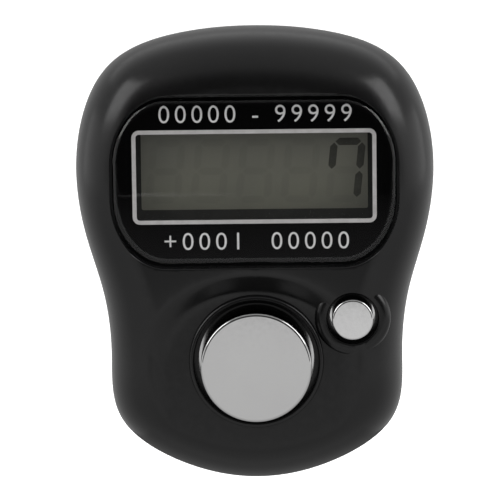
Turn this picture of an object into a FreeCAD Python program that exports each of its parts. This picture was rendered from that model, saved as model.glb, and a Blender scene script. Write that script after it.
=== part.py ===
import FreeCAD, Part
import math
import os
from FreeCAD import Vector

# Finger-worn electronic tally counter: a pebble-shaped two-piece case with a five-digit liquid-crystal
# display, a large count button and a small reset button over a silicone keypad, one circuit board, a round
# button cell under a screwed door, and a strap that holds the case on a finger.
#
# Every piece is laid out in millimetres by three design measures: x to the right, depth back from the
# flat front of the case, and height up from the middle of the case. place() turns those into the part's
# own frame, whose origin is the centre of the finger ring: +X right, +Y towards the strap, +Z up along
# the finger.

# Case
CASE_WIDTH = 30.2
CASE_HEIGHT = 38.8
HALF_OUTLINE = [  # control points of the right half, from the crown to the toe
    (0.0, 19.2), (5.0, 18.95), (11.2, 17.5), (14.2, 13.7), (15.45, 7.7), (14.6, 1.6),
    (12.8, -3.2), (12.2, -8.8), (12.75, -14.75), (6.5, -18.7), (0.0, -20.1),
]
WALL = 1.2
SEAM_DEPTH = 6.4        # rim of the front shell
SEAM_GROOVE = 0.3       # shadow gap between the two shells
BACK_DEPTH = 12.5       # flat back of the rear shell
FRONT_ROUNDING = 4.6    # how far the front edge rounds in from the outline
BACK_ROUNDING = 3.4
REAR_STEP_IN = 0.1      # the rear shell's outline stands this far inside the front shell's
ROUNDING_FULLNESS = 0.6  # 0.55 is a plain ellipse, more is squarer
SIDE_FULLNESS = 0.5     # share of the rounding taken as a true offset, the rest as a scaling
TOE_FALL = 0.7          # how much further the front rounds in at the toe, as a share of the rounding
WAIST_FALL = 0.35       # and at the sides below the display
TONGUE_OUTER = 0.75     # the rear shell's locating tongue, as insets from the outline
TONGUE_INNER = 1.25
TONGUE_REACH = 0.85
REBATE_INSET = 0.6
REBATE_DEPTH = 5.4

# Display
LENS_WIDTH, LENS_HEIGHT, LENS_CORNER = 23.5, 13.9, 4.7
LENS_Z = 6.9
LENS_GAP = 0.22
LENS_THICKNESS = 1.1
LENS_BEVEL = 0.32
FILM = 0.1              # printed mask, and the tape behind it
FILM_MARGIN = 0.2
LENS_SEAT_DEPTH = LENS_THICKNESS + 2 * FILM
WINDOW_WIDTH, WINDOW_HEIGHT, WINDOW_CORNER = 19.7, 7.3, 0.4
WINDOW_Z = 7.27
APERTURE_MARGIN = 0.6   # the hole in the shell is this much larger than the window, each side
PAD_BACK = 2.4          # back of the thick pad round the display
GASKET = 0.4
LCD_HALF_WIDTH = 10.9
LCD_BOTTOM, LCD_TOP = 1.6, 11.9
LCD_LEDGE = 1.5         # how far the front glass reaches below the rear one
POLARISER, GLASS, SEAL = 0.15, 0.6, 0.1
REFLECTOR = 0.2
HOLDER_HALF_WIDTH, HOLDER_BOTTOM, HOLDER_TOP, HOLDER_FRONT = 11.8, 0.8, 12.6, 3.4

# Circuit board and its fastening
BOARD_FRONT, BOARD_THICKNESS, BOARD_INSET = 5.8, 1.0, 1.65
BOARD_BACK = BOARD_FRONT + BOARD_THICKNESS
BOARD_POSTS = [(0.0, -0.9), (0.0, -16.0)]
BOARD_POST_RADIUS = 1.3
CASE_SCREWS = [(9.0, 14.4), (-9.0, 14.4), (7.6, -13.2), (-7.6, -13.2)]
CASE_BOSS_RADIUS, CASE_BOSS_END = 1.7, 8.6
CASE_SCREW_SEAT = 10.6  # bottom of the counterbores that the heads sit in

# Buttons and keypad
COUNT_Z = -8.5
COUNT_RADIUS, COUNT_HOLE, COUNT_GUIDE, COUNT_FLANGE = 4.64, 5.23, 4.85, 5.9
COUNT_FACE = -1.9
RESET_X, RESET_Z = 8.1, -4.84
RESET_RADIUS, RESET_HOLE, RESET_GUIDE, RESET_FLANGE = 1.73, 2.13, 1.9, 2.3
RESET_FACE = -0.16
RESET_BOSS_RADIUS, RESET_BOSS_TOP = 3.15, 0.3
DISH_X, DISH_Z, DISH_HALF_WIDTH, DISH_HALF_HEIGHT = -0.2, -8.05, 9.2, 7.1
DISH_SINK, DISH_SLOPE = 0.75, 27.0
COLLAR_RADIUS, COLLAR_TOP = 5.62, 0.34
KEY_PAD_BACK = 2.2      # back of the thick pad round the buttons
FLANGE_FRONT = 2.25
STEM_END = 3.4
MAT_FRONT = 5.0
DOME_TOP = 3.43
COUNT_DOME_ROOF, RESET_DOME_ROOF = 4.4, 4.6  # inside of each dome, where its pill is bonded
COUNT_PILL_RADIUS, RESET_PILL_RADIUS, PILL_THICKNESS = 1.6, 0.9, 0.52
COUNT_PAD_RADIUS, RESET_PAD_RADIUS = 2.6, 1.5
CONTACT_THICKNESS = 0.03

# Button cell, its well and its door
CELL_X, CELL_Z, CELL_RADIUS, CELL_FRONT, CELL_BACK = -1.6, 7.6, 5.8, 8.35, 11.4
WELL_RADIUS, WELL_WALL, WELL_FLOOR, WELL_FLOOR_THICKNESS = 6.05, 0.8, 7.9, 0.6
DOOR_RADIUS, DOOR_THICKNESS, DOOR_GAP = 7.2, 1.0, 0.12
DOOR_SCREW_X = 7.9
DOOR_TAB_RADIUS = 2.2
DOOR_FLOOR = BACK_DEPTH - DOOR_THICKNESS
DOOR_SCREW_SEAT = BACK_DEPTH - 0.55

# Strap and finger ring
RING_RADIUS = 9.0       # inside of the strap, round the finger
STRAP_WIDTH, STRAP_THICKNESS = 8.5, 1.1
STRAP_Z = -5.2
STRAP_FRONT = BACK_DEPTH + 0.1
RING_DEPTH = 22.9       # depth of the finger's axis
LUG_INNER, LUG_OUTER, LUG_BACK = 5.6, 8.6, 15.3
SLOT_WIDTH, SLOT_BACK = 8.9, 14.0
LUG_POST = 0.85
PEG_X, PEG_RADIUS, PEG_HEAD_RADIUS = 3.6, 0.85, 1.2
STRAP_HOLE = 0.95
STRAP_END_X = 1.6
STRAP_BEND = 2.0        # centreline radius where the strap turns back outside each lug

BACKWARDS = Vector(0, 1, 0)


def place(x, depth, height):
    """A point given by the design measures, in the part's own frame."""
    return Vector(x, depth - RING_DEPTH, height - STRAP_Z)


# ---- shapes that the pieces share ----

def block(x0, x1, depth0, depth1, height0, height1):
    """A box between two corners in the design measures."""
    return Part.makeBox(x1 - x0, depth1 - depth0, height1 - height0, place(x0, depth0, height0))


def rod(x, height, radius, depth0, depth1):
    """A round bar along the depth."""
    return Part.makeCylinder(radius, depth1 - depth0, place(x, depth0, height), BACKWARDS)


def turned(x, height, profile):
    """A solid turned about an axis along the depth, from (radius, depth) corners."""
    points = [place(x + radius, depth, height) for radius, depth in profile]
    face = Part.Face(Part.makePolygon(points + points[:1]))
    return face.revolve(place(x, 0, height), BACKWARDS, 360)


def rounded_plate(width, height, corner, x, z, depth0, depth1):
    """A rectangular plate with round corners, centred at (x, z)."""
    plate = block(x - width / 2, x + width / 2, depth0, depth1, z - height / 2, z + height / 2)
    upright = [e for e in plate.Edges if abs(e.Length - (depth1 - depth0)) < 1e-6
               and abs(e.tangentAt(e.FirstParameter).y) > 0.99]
    return plate.makeFillet(corner, upright)


def joined(shapes):
    """Several shapes fused into one."""
    return shapes[0].multiFuse(shapes[1:]).removeSplitter() if len(shapes) > 1 else shapes[0]


def edges_at(shape, depth, tolerance=1e-3):
    """The edges that lie wholly at one depth."""
    y = depth - RING_DEPTH
    return [e for e in shape.Edges
            if abs(e.BoundBox.YMin - y) < tolerance and abs(e.BoundBox.YMax - y) < tolerance]


# ---- the case's outline and its rounded solids ----

def case_outline():
    """Control points of the whole outline, clockwise from the crown."""
    mirrored = [(-x, z) for x, z in HALF_OUTLINE[-2:0:-1]]
    return HALF_OUTLINE + mirrored


def neighbours(items, i):
    """The items before and after one, round a closed list."""
    return items[i - 1], items[(i + 1) % len(items)]


def inset(outline, distance):
    """Control points of the curve that runs a distance inside an outline."""
    inward = []
    for i in range(len(outline)):
        before, after = neighbours(outline, i)
        along_x, along_z = after[0] - before[0], after[1] - before[1]
        length = math.hypot(along_x, along_z)
        inward.append((along_z / length, -along_x / length))
    moves = inward
    for _ in range(12):  # until the curve itself, not its control polygon, moves by the distance
        closer = []
        for i, move in enumerate(moves):
            before, after = neighbours(moves, i)
            closer.append(tuple(
                move[k] + inward[i][k] - (before[k] + 4 * move[k] + after[k]) / 6 for k in (0, 1)))
        moves = closer
    return [(x + distance * mx, z + distance * mz) for (x, z), (mx, mz) in zip(outline, moves)]


def shrunk(outline, distance, falls_away=False):
    """An outline drawn in by a distance, part as an offset and part as a scaling, so corners stay round."""
    offset = inset(outline, distance * SIDE_FULLNESS)
    rest = distance * (1 - SIDE_FULLNESS)
    scale_x, scale_z = 1 - 2 * rest / CASE_WIDTH, 1 - 2 * rest / CASE_HEIGHT
    drawn = []
    for x, z in offset:
        lift = narrowing = 0
        if falls_away:
            lift = distance * TOE_FALL * max(0.0, -2 * z / CASE_HEIGHT) ** 2
            low = min(1.0, max(0.0, (4 - z) / 14))
            narrowing = distance * WAIST_FALL * low ** 2 * (3 - 2 * low) * 2 * x / CASE_WIDTH
        drawn.append((x * scale_x - narrowing, z * scale_z + lift))
    return drawn


def smooth_loop(outline, depth):
    """The closed smooth curve of some control points, at one depth."""
    curve = Part.BSplineCurve()
    curve.buildFromPoles([place(x, depth, z) for x, z in outline], True, 3)
    return curve


def prism(outline, depth0, depth1):
    """A straight-sided solid on a smooth outline."""
    face = Part.Face(Part.Wire([smooth_loop(outline, depth0).toShape()]))
    return face.extrude(Vector(0, depth1 - depth0, 0))


def pebble(outline, rounding, flat_depth, rim_depth, falls_away=False):
    """A solid with a flat at one depth that rounds out smoothly to the full outline at its rim."""
    slack = 1 - ROUNDING_FULLNESS
    span = rim_depth - flat_depth
    stations = [(rounding, flat_depth), (rounding * slack, flat_depth),
                (0, flat_depth + span * slack), (0, rim_depth)]
    rows = [[place(x, depth, z) for x, z in shrunk(outline, draw_in, falls_away)]
            for draw_in, depth in stations]
    count = len(outline)
    poles = [[row[i] for row in rows] for i in range(count)]
    surface = Part.BSplineSurface()
    surface.buildFromPolesMultsKnots(
        poles, [1] * (count + 1), [4, 4], list(range(count + 1)), [0, 1], True, False, 3, 3)
    ends = [Part.Face(Part.Wire([surface.vIso(v).toShape()])) for v in (0, 1)]
    shell = Part.makeShell([surface.toShape()] + ends)
    shell.sewShape()
    solid = Part.makeSolid(shell)
    if solid.Volume < 0:
        solid.reverse()
    return solid


OUTLINE = case_outline()


def case_core():
    """The space that inner features of the case may fill, a little inside its outer surface."""
    front = pebble(inset(OUTLINE, 0.5), FRONT_ROUNDING - 0.4, 0.6, SEAM_DEPTH, True)
    return joined([front, prism(inset(OUTLINE, 1.6), SEAM_DEPTH, BOARD_BACK + 3)])


# ---- front shell ----

def dish():
    """The body to cut away for the shallow hollow round the count button, open at the toe."""
    slope = math.tan(math.radians(DISH_SLOPE))
    above = 1.0
    mouth, floor = DISH_HALF_HEIGHT + above / slope, DISH_HALF_HEIGHT - DISH_SINK / slope
    cone = Part.makeCone(mouth, floor, above + DISH_SINK, Vector(0, -above, 0), BACKWARDS)
    wide = DISH_HALF_WIDTH / DISH_HALF_HEIGHT
    stretch = FreeCAD.Matrix()
    stretch.scale(wide, 1, 1)
    oval = cone.transformGeometry(stretch)
    oval.translate(place(DISH_X, 0, DISH_Z))
    corners = [(-mouth * wide, -above), (mouth * wide, -above),
               (floor * wide, DISH_SINK), (-floor * wide, DISH_SINK)]
    points = [place(DISH_X + x, depth, DISH_Z) for x, depth in corners]
    trough = Part.Face(Part.makePolygon(points + points[:1])).extrude(Vector(0, 0, -CASE_HEIGHT))
    return oval.fuse(trough)


def front_shell():
    outer = pebble(OUTLINE, FRONT_ROUNDING, 0, SEAM_DEPTH, True)
    hollow = pebble(inset(OUTLINE, WALL), FRONT_ROUNDING - 0.8, WALL + 0.1, SEAM_DEPTH + 0.1, True)
    core = case_core()
    shell = outer.cut(hollow).cut(prism(inset(OUTLINE, REBATE_INSET), REBATE_DEPTH, SEAM_DEPTH + 0.1))
    pads = [
        rounded_plate(LENS_WIDTH + 1.8, LENS_HEIGHT + 1.8, LENS_CORNER + 0.9, 0, LENS_Z, 0.7, PAD_BACK),
        rod(0, COUNT_Z, 7.4, 0.9, KEY_PAD_BACK),
        rod(RESET_X, RESET_Z, 3.4, 0.7, KEY_PAD_BACK),
    ]
    bosses = [rod(x, z, CASE_BOSS_RADIUS, 0.7, CASE_BOSS_END) for x, z in CASE_SCREWS]
    posts = [rod(x, z, BOARD_POST_RADIUS, 0.7, BOARD_FRONT) for x, z in BOARD_POSTS]
    inner = joined(pads + bosses + posts).common(core)
    shell = shell.fuse(inner).cut(dish())
    reset_boss = rod(RESET_X, RESET_Z, RESET_BOSS_RADIUS, RESET_BOSS_TOP, KEY_PAD_BACK)
    reset_boss = reset_boss.makeFillet(0.35, edges_at(reset_boss, RESET_BOSS_TOP))
    collar = rod(0, COUNT_Z, COLLAR_RADIUS, COLLAR_TOP, KEY_PAD_BACK - 0.2)
    collar = collar.makeFillet(0.14, edges_at(collar, COLLAR_TOP))
    shell = shell.fuse([reset_boss, collar])
    seat = rounded_plate(LENS_WIDTH + 2 * LENS_GAP, LENS_HEIGHT + 2 * LENS_GAP, LENS_CORNER + LENS_GAP,
                         0, LENS_Z, -1, LENS_SEAT_DEPTH)
    aperture = rounded_plate(WINDOW_WIDTH + 2 * APERTURE_MARGIN, WINDOW_HEIGHT + 2 * APERTURE_MARGIN,
                             WINDOW_CORNER + APERTURE_MARGIN, 0, WINDOW_Z, 0, PAD_BACK + 0.1)
    cuts = [
        seat,
        aperture,
        rod(0, COUNT_Z, COUNT_HOLE, -1, 1.5),
        rod(0, COUNT_Z, COUNT_GUIDE, 1, KEY_PAD_BACK + 0.1),
        rod(RESET_X, RESET_Z, RESET_HOLE, -1, 1.4),
        rod(RESET_X, RESET_Z, RESET_GUIDE, 1, KEY_PAD_BACK + 0.1),
        rod(RESET_X, RESET_Z, RESET_FLANGE + 0.25, KEY_PAD_BACK, 4.4),
    ]
    cuts += [rod(x, z, 0.8, 3.6, CASE_BOSS_END + 0.1) for x, z in CASE_SCREWS]
    cuts += [rod(x, z, 0.52, 3.0, BOARD_FRONT + 0.1) for x, z in BOARD_POSTS]
    return shell.cut(cuts)


# ---- rear shell ----

def keyhole(radius, tab_radius, depth0, depth1):
    """The door's shape: a disc over the cell with a tab that reaches to its screw."""
    disc = rod(CELL_X, CELL_Z, radius, depth0, depth1)
    tab_end = rod(DOOR_SCREW_X, CELL_Z, tab_radius, depth0, depth1)
    tab = block(CELL_X, DOOR_SCREW_X, depth0, depth1, CELL_Z - tab_radius, CELL_Z + tab_radius)
    return joined([disc, tab_end, tab])


def lug(side):
    """One strap lug: a bridge that the strap passes under."""
    x0, x1 = sorted((side * LUG_INNER, side * LUG_OUTER))
    half = SLOT_WIDTH / 2 + LUG_POST
    bridge = block(x0, x1, BACK_DEPTH - 1, LUG_BACK, STRAP_Z - half, STRAP_Z + half)
    return bridge.makeFillet(0.6, edges_at(bridge, LUG_BACK))


def peg(side):
    """One mushroom peg that a hole in the strap buttons over."""
    head = BACK_DEPTH + STRAP_THICKNESS + 0.15
    root, top = BACK_DEPTH - 0.2, head + 0.5
    profile = [(0, root), (PEG_RADIUS, root), (PEG_RADIUS, head), (PEG_HEAD_RADIUS, head),
               (PEG_HEAD_RADIUS - 0.1, head + 0.25), (PEG_RADIUS - 0.15, top), (0, top)]
    return turned(side * PEG_X, STRAP_Z, profile)


def rear_shell():
    base = inset(OUTLINE, REAR_STEP_IN)
    front = SEAM_DEPTH + SEAM_GROOVE
    outer = pebble(base, BACK_ROUNDING, BACK_DEPTH, front)
    hollow = pebble(inset(base, WALL), BACK_ROUNDING - 0.8, BACK_DEPTH - WALL, front - 0.1)
    tongue = prism(inset(OUTLINE, TONGUE_OUTER), SEAM_DEPTH - TONGUE_REACH, front + 0.2).cut(
        prism(inset(OUTLINE, TONGUE_INNER), SEAM_DEPTH - TONGUE_REACH - 0.1, front + 0.3))
    pad_back = BACK_DEPTH - 0.3
    well = rod(CELL_X, CELL_Z, WELL_RADIUS + WELL_WALL, WELL_FLOOR - WELL_FLOOR_THICKNESS, pad_back)
    door_pad = keyhole(DOOR_RADIUS + 0.8, DOOR_TAB_RADIUS + 0.7, DOOR_FLOOR - 0.9, pad_back)
    door_boss = rod(DOOR_SCREW_X, CELL_Z, 1.9, 8.0, pad_back)
    bosses = [rod(x, z, 2.3, CASE_BOSS_END + 0.05, BACK_DEPTH - 0.5) for x, z in CASE_SCREWS]
    within = pebble(inset(base, 0.5), BACK_ROUNDING - 0.4, BACK_DEPTH - 0.2, front)
    inner = joined([well, door_pad, door_boss] + bosses).common(within)
    shell = outer.cut(hollow).fuse([tongue, inner, lug(1), lug(-1), peg(1), peg(-1)])
    half_slot = SLOT_WIDTH / 2
    cuts = [
        keyhole(DOOR_RADIUS, DOOR_TAB_RADIUS, DOOR_FLOOR, BACK_DEPTH + 1),
        rod(CELL_X, CELL_Z, WELL_RADIUS, WELL_FLOOR, BACK_DEPTH + 1),
        rod(DOOR_SCREW_X, CELL_Z, 0.62, 8.6, BACK_DEPTH),
        # slots in the well for the two cell contacts
        block(1.2, 2.4, WELL_FLOOR - 1, WELL_FLOOR + 0.1, CELL_Z - 1.3, CELL_Z + 1.3),
        block(3.9, 4.95, WELL_FLOOR - 1, 11.0, CELL_Z - 1.4, CELL_Z + 1.4),
    ]
    for side in (1, -1):
        x0, x1 = sorted((side * (LUG_INNER - 0.5), side * (LUG_OUTER + 0.5)))
        cuts.append(block(x0, x1, BACK_DEPTH, SLOT_BACK, STRAP_Z - half_slot, STRAP_Z + half_slot))
    for x, z in CASE_SCREWS:
        cuts += [rod(x, z, 0.95, CASE_BOSS_END - 0.1, BACK_DEPTH),
                 rod(x, z, 1.75, CASE_SCREW_SEAT, BACK_DEPTH + 1)]
    return shell.cut(cuts)


# ---- display ----

def display_lens():
    lens = rounded_plate(LENS_WIDTH, LENS_HEIGHT, LENS_CORNER, 0, LENS_Z, 0, LENS_THICKNESS)
    return lens.makeFillet(LENS_BEVEL, edges_at(lens, 0))


def lens_film(front):
    """A film as large as the lens, less a margin all round."""
    return rounded_plate(LENS_WIDTH - 2 * FILM_MARGIN, LENS_HEIGHT - 2 * FILM_MARGIN,
                         LENS_CORNER - FILM_MARGIN, 0, LENS_Z, front, front + FILM)


def lens_mask():
    film = lens_film(LENS_THICKNESS)
    return film.cut(rounded_plate(WINDOW_WIDTH, WINDOW_HEIGHT, WINDOW_CORNER, 0, WINDOW_Z, 0, 2))


def lens_tape():
    tape = lens_film(LENS_THICKNESS + FILM)
    return tape.cut(rounded_plate(WINDOW_WIDTH + 1.6, WINDOW_HEIGHT + 1.6, 1.0, 0, WINDOW_Z, 0, 2))


def lcd_foam_gasket():
    ring = block(-10.7, 10.7, PAD_BACK, PAD_BACK + GASKET, 2.7, 11.85)
    return ring.cut(block(-10.3, 10.3, 0, 5, 3.35, 11.2))


def lcd_stack():
    """The display panel's own layers, from the viewer's side back."""
    front = PAD_BACK + GASKET
    glass = front + POLARISER
    seal = glass + GLASS
    rear = seal + SEAL
    back = rear + GLASS
    half = LCD_HALF_WIDTH
    cell_bottom = LCD_BOTTOM + LCD_LEDGE
    seal_ring = block(-half + 0.3, half - 0.3, seal, rear, cell_bottom + 0.1, LCD_TOP - 0.3)
    seal_ring = seal_ring.cut(block(-half + 0.8, half - 0.8, 0, 9, cell_bottom + 0.5, LCD_TOP - 0.7))
    return {
        "lcd_front_polariser": block(-half + 0.3, half - 0.3, front, glass, cell_bottom, LCD_TOP - 0.1),
        "lcd_front_glass": block(-half, half, glass, seal, LCD_BOTTOM, LCD_TOP),
        "lcd_edge_seal": seal_ring,
        "lcd_rear_glass": block(-half, half, rear, back, cell_bottom, LCD_TOP),
        "lcd_reflector": block(-half + 0.3, half - 0.3, back, back + REFLECTOR, cell_bottom, LCD_TOP - 0.1),
    }


def lcd_holder():
    half = HOLDER_HALF_WIDTH
    frame = block(-half, half, HOLDER_FRONT, BOARD_FRONT - 0.05, HOLDER_BOTTOM, HOLDER_TOP)
    upright = [e for e in frame.Edges if abs(e.tangentAt(e.FirstParameter).y) > 0.99]
    frame = frame.makeChamfer(0.7, upright)
    panel = block(-LCD_HALF_WIDTH - 0.1, LCD_HALF_WIDTH + 0.1, 0, 4.5, LCD_BOTTOM - 0.1, LCD_TOP + 0.1)
    opening = block(-9.7, 9.7, 0, 9, 3.5, 11.0)
    strip_slot = block(-9.7, 9.7, 0, 9, LCD_BOTTOM - 0.1, 2.95)
    return frame.cut([panel, opening, strip_slot])


def zebra_strip():
    """The rubber connector between the glass's ledge and the board."""
    glass_back = PAD_BACK + GASKET + POLARISER + GLASS
    return block(-9.5, 9.5, glass_back, BOARD_FRONT, LCD_BOTTOM + 0.05, 2.85)


# ---- circuit board ----

def circuit_board():
    board = prism(inset(OUTLINE, BOARD_INSET), BOARD_FRONT, BOARD_BACK)
    cuts = [rod(x, z, CASE_BOSS_RADIUS + 0.25, 0, 9) for x, z in CASE_SCREWS]
    cuts += [rod(x, z, 0.75, 0, 9) for x, z in BOARD_POSTS]
    return board.cut(cuts)


def chip_blob():
    """The epoxy dome over the bare chip."""
    radius, rise = 3.2, 1.3
    sphere_radius = (radius ** 2 + rise ** 2) / (2 * rise)
    ball = Part.makeSphere(sphere_radius, place(0, BOARD_BACK + rise - sphere_radius, -7.4))
    return ball.common(block(-5, 5, BOARD_BACK, BOARD_BACK + 3, -12, -2))


def chip_capacitors():
    places = [(-7.2, -3.2), (-7.2, -5.4), (6.6, -3.4)]
    return Part.makeCompound([
        block(x - 0.8, x + 0.8, BOARD_BACK, BOARD_BACK + 0.75, z - 0.4, z + 0.4) for x, z in places])


def contact_pads(x, z, radius):
    """Two facing half-discs of gold-plated copper with a gap across."""
    disc = rod(x, z, radius, BOARD_FRONT - CONTACT_THICKNESS, BOARD_FRONT)
    gap = block(x - 0.15, x + 0.15, 0, 9, z - radius - 1, z + radius + 1)
    return disc.cut(gap)


# ---- keypad and buttons ----

def keypad_mat():
    sheet = prism(inset(OUTLINE, 1.6), MAT_FRONT, BOARD_FRONT)
    sheet = sheet.common(block(-20, 20, MAT_FRONT - 1, BOARD_FRONT + 1, -25, -2.4))
    cuts = [rod(x, z, CASE_BOSS_RADIUS + 0.3, 0, 9) for x, z in CASE_SCREWS + BOARD_POSTS]
    cuts += [rod(0, COUNT_Z, 3.8, 0, 9), rod(RESET_X, RESET_Z, 2.3, 0, 9)]
    return sheet.cut(cuts)


def count_dome():
    profile = [(0, DOME_TOP), (2.3, DOME_TOP), (3.78, 5.3), (3.78, BOARD_FRONT), (3.1, BOARD_FRONT),
               (2.0, COUNT_DOME_ROOF), (0, COUNT_DOME_ROOF)]
    return turned(0, COUNT_Z, profile)


def reset_dome():
    profile = [(0, DOME_TOP), (1.3, DOME_TOP), (2.28, 5.3), (2.28, BOARD_FRONT), (1.75, BOARD_FRONT),
               (1.1, RESET_DOME_ROOF), (0, RESET_DOME_ROOF)]
    return turned(RESET_X, RESET_Z, profile)


def count_button():
    """A plated cap with a retaining flange, and a stem that presses the dome."""
    web = COUNT_FACE + 1.2
    profile = [(0, COUNT_FACE), (COUNT_RADIUS, COUNT_FACE), (COUNT_RADIUS, FLANGE_FRONT),
               (COUNT_FLANGE, FLANGE_FRONT), (COUNT_FLANGE, FLANGE_FRONT + 0.8), (3.6, FLANGE_FRONT + 0.8),
               (3.6, web), (1.6, web), (1.6, STEM_END), (0, STEM_END)]
    cap = turned(0, COUNT_Z, profile)
    return cap.makeFillet(0.32, edges_at(cap, COUNT_FACE))


def reset_button():
    profile = [(0, RESET_FACE), (RESET_RADIUS, RESET_FACE), (RESET_RADIUS, FLANGE_FRONT),
               (RESET_FLANGE, FLANGE_FRONT), (RESET_FLANGE, FLANGE_FRONT + 0.6), (1.0, FLANGE_FRONT + 0.6),
               (1.0, STEM_END), (0, STEM_END)]
    cap = turned(RESET_X, RESET_Z, profile)
    return cap.makeFillet(0.22, edges_at(cap, RESET_FACE))


# ---- power ----

def button_cell():
    """A round cell: its smaller negative cap faces the board, its can the door."""
    cap_radius, cap_depth = 5.0, CELL_FRONT + 0.4
    lip, chamfer = 0.15, 0.3
    profile = [(0, CELL_FRONT), (cap_radius, CELL_FRONT), (cap_radius, cap_depth),
               (CELL_RADIUS - lip, cap_depth), (CELL_RADIUS, cap_depth + lip),
               (CELL_RADIUS, CELL_BACK - chamfer), (CELL_RADIUS - chamfer, CELL_BACK), (0, CELL_BACK)]
    return turned(CELL_X, CELL_Z, profile)


def cell_negative_contact():
    """A sprung leaf on the well's floor, with a leg through it to the board."""
    floor = WELL_FLOOR
    leaf = block(-4.6, 1.8, floor, floor + 0.18, CELL_Z - 1.1, CELL_Z + 1.1)
    tongue = turned(CELL_X, CELL_Z, [(0, floor + 0.1), (1.0, floor + 0.1), (0.6, CELL_FRONT - 0.02),
                                    (0, CELL_FRONT - 0.02)])
    leg = block(1.6, 1.8, BOARD_BACK, floor + 0.18, CELL_Z - 1.1, CELL_Z + 1.1)
    return joined([leaf, tongue, leg])


def cell_positive_contact():
    """A leaf up the well's side that touches the can, with a foot on the board."""
    upright = block(4.28, 4.48, BOARD_BACK, 10.7, CELL_Z - 1.1, CELL_Z + 1.1)
    foot = block(4.28, 5.9, BOARD_BACK, BOARD_BACK + 0.2, CELL_Z - 1.1, CELL_Z + 1.1)
    return joined([upright, foot])


def battery_door():
    plate = keyhole(DOOR_RADIUS - DOOR_GAP, DOOR_TAB_RADIUS - DOOR_GAP, DOOR_FLOOR + 0.02, BACK_DEPTH)
    grip = []
    for groove in range(3):
        x = CELL_X - 4.6 + groove
        grip.append(block(x, x + 0.5, BACK_DEPTH - 0.25, BACK_DEPTH + 1, CELL_Z - 2.2, CELL_Z + 2.2))
    screw_way = [rod(DOOR_SCREW_X, CELL_Z, 0.75, 0, 20),
                 rod(DOOR_SCREW_X, CELL_Z, 1.5, DOOR_SCREW_SEAT, 20)]
    return plate.cut(grip + screw_way)


# ---- fasteners ----

def screw(x, z, bearing, head_radius, head_height, shank_radius, shank_length):
    """A pan-head self-tapping screw driven from the back, with a cross recess."""
    tip = bearing - shank_length
    top = bearing + head_height
    crown = min(0.35, head_height / 2)
    profile = [(0, tip), (shank_radius, tip + 2 * shank_radius), (shank_radius, bearing),
               (head_radius, bearing), (head_radius, top - crown), (head_radius - crown, top), (0, top)]
    arm, slot, deep = head_radius * 0.62, head_radius * 0.15, head_height * 0.6
    cross = joined([block(x - arm, x + arm, top - deep, top + 1, z - slot, z + slot),
                    block(x - slot, x + slot, top - deep, top + 1, z - arm, z + arm)])
    return turned(x, z, profile).cut(cross)


def case_screws():
    return Part.makeCompound([
        screw(x, z, CASE_SCREW_SEAT, 1.6, 1.1, 0.78, 6.4) for x, z in CASE_SCREWS])


def board_screws():
    return Part.makeCompound([screw(x, z, BOARD_BACK, 1.3, 0.8, 0.5, 3.4) for x, z in BOARD_POSTS])


def door_screw():
    return screw(DOOR_SCREW_X, CELL_Z, DOOR_SCREW_SEAT, 1.4, 0.5, 0.58, 3.2)


# ---- strap ----

def strap_path():
    """The strap's centreline, right half and left half, with the straight's ends for its spare holes."""
    middle = STRAP_FRONT + STRAP_THICKNESS / 2
    ring = RING_RADIUS + STRAP_THICKNESS / 2
    bend_x, bend_depth = LUG_OUTER + 0.1, middle + STRAP_BEND
    gap = math.hypot(bend_x, RING_DEPTH - bend_depth)
    lean = math.acos((ring - STRAP_BEND) / gap) - math.atan2(RING_DEPTH - bend_depth, bend_x)
    out_x, out_depth = math.cos(lean), math.sin(lean)  # outward normal of the straight part
    low = (bend_x + STRAP_BEND * out_x, bend_depth + STRAP_BEND * out_depth)
    high = (ring * out_x, RING_DEPTH + ring * out_depth)
    half_turn = (lean - math.pi / 2) / 2
    knee = (bend_x + STRAP_BEND * math.cos(half_turn), bend_depth + STRAP_BEND * math.sin(half_turn))
    ends = [(STRAP_END_X, middle), (bend_x, middle), knee, low, high]
    right = [place(x, depth, STRAP_Z) for x, depth in ends]
    left = [place(-x, depth, STRAP_Z) for x, depth in ends]
    top = place(0, RING_DEPTH + ring, STRAP_Z)
    wire = Part.Wire([
        Part.LineSegment(right[0], right[1]).toShape(),
        Part.Arc(right[1], right[2], right[3]).toShape(),
        Part.LineSegment(right[3], right[4]).toShape(),
        Part.Arc(right[4], top, left[4]).toShape(),
        Part.LineSegment(left[4], left[3]).toShape(),
        Part.Arc(left[3], left[2], left[1]).toShape(),
        Part.LineSegment(left[1], left[0]).toShape(),
    ])
    return wire, right[3], right[4]


def finger_strap():
    path, low, high = strap_path()
    section = path.makeOffset2D(STRAP_THICKNESS / 2, 0, False, False)
    band = Part.Face(section).extrude(Vector(0, 0, STRAP_WIDTH))
    band.translate(Vector(0, 0, -STRAP_WIDTH / 2))
    along = (high - low).normalize()
    across = Vector(along.y, -along.x, 0)
    holes = []
    for side in (1, -1):
        holes.append(rod(side * PEG_X, STRAP_Z, STRAP_HOLE, BACK_DEPTH, BACK_DEPTH + 2))
        for distance in (1.6, 4.8, 8.0):
            spot = low + along * distance - across * 2
            hole = Part.makeCylinder(STRAP_HOLE, 4, spot, across)
            holes.append(hole if side > 0 else hole.mirror(Vector(0, 0, 0), Vector(1, 0, 0)))
    return band.cut(holes)


# ---- export ----

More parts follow.
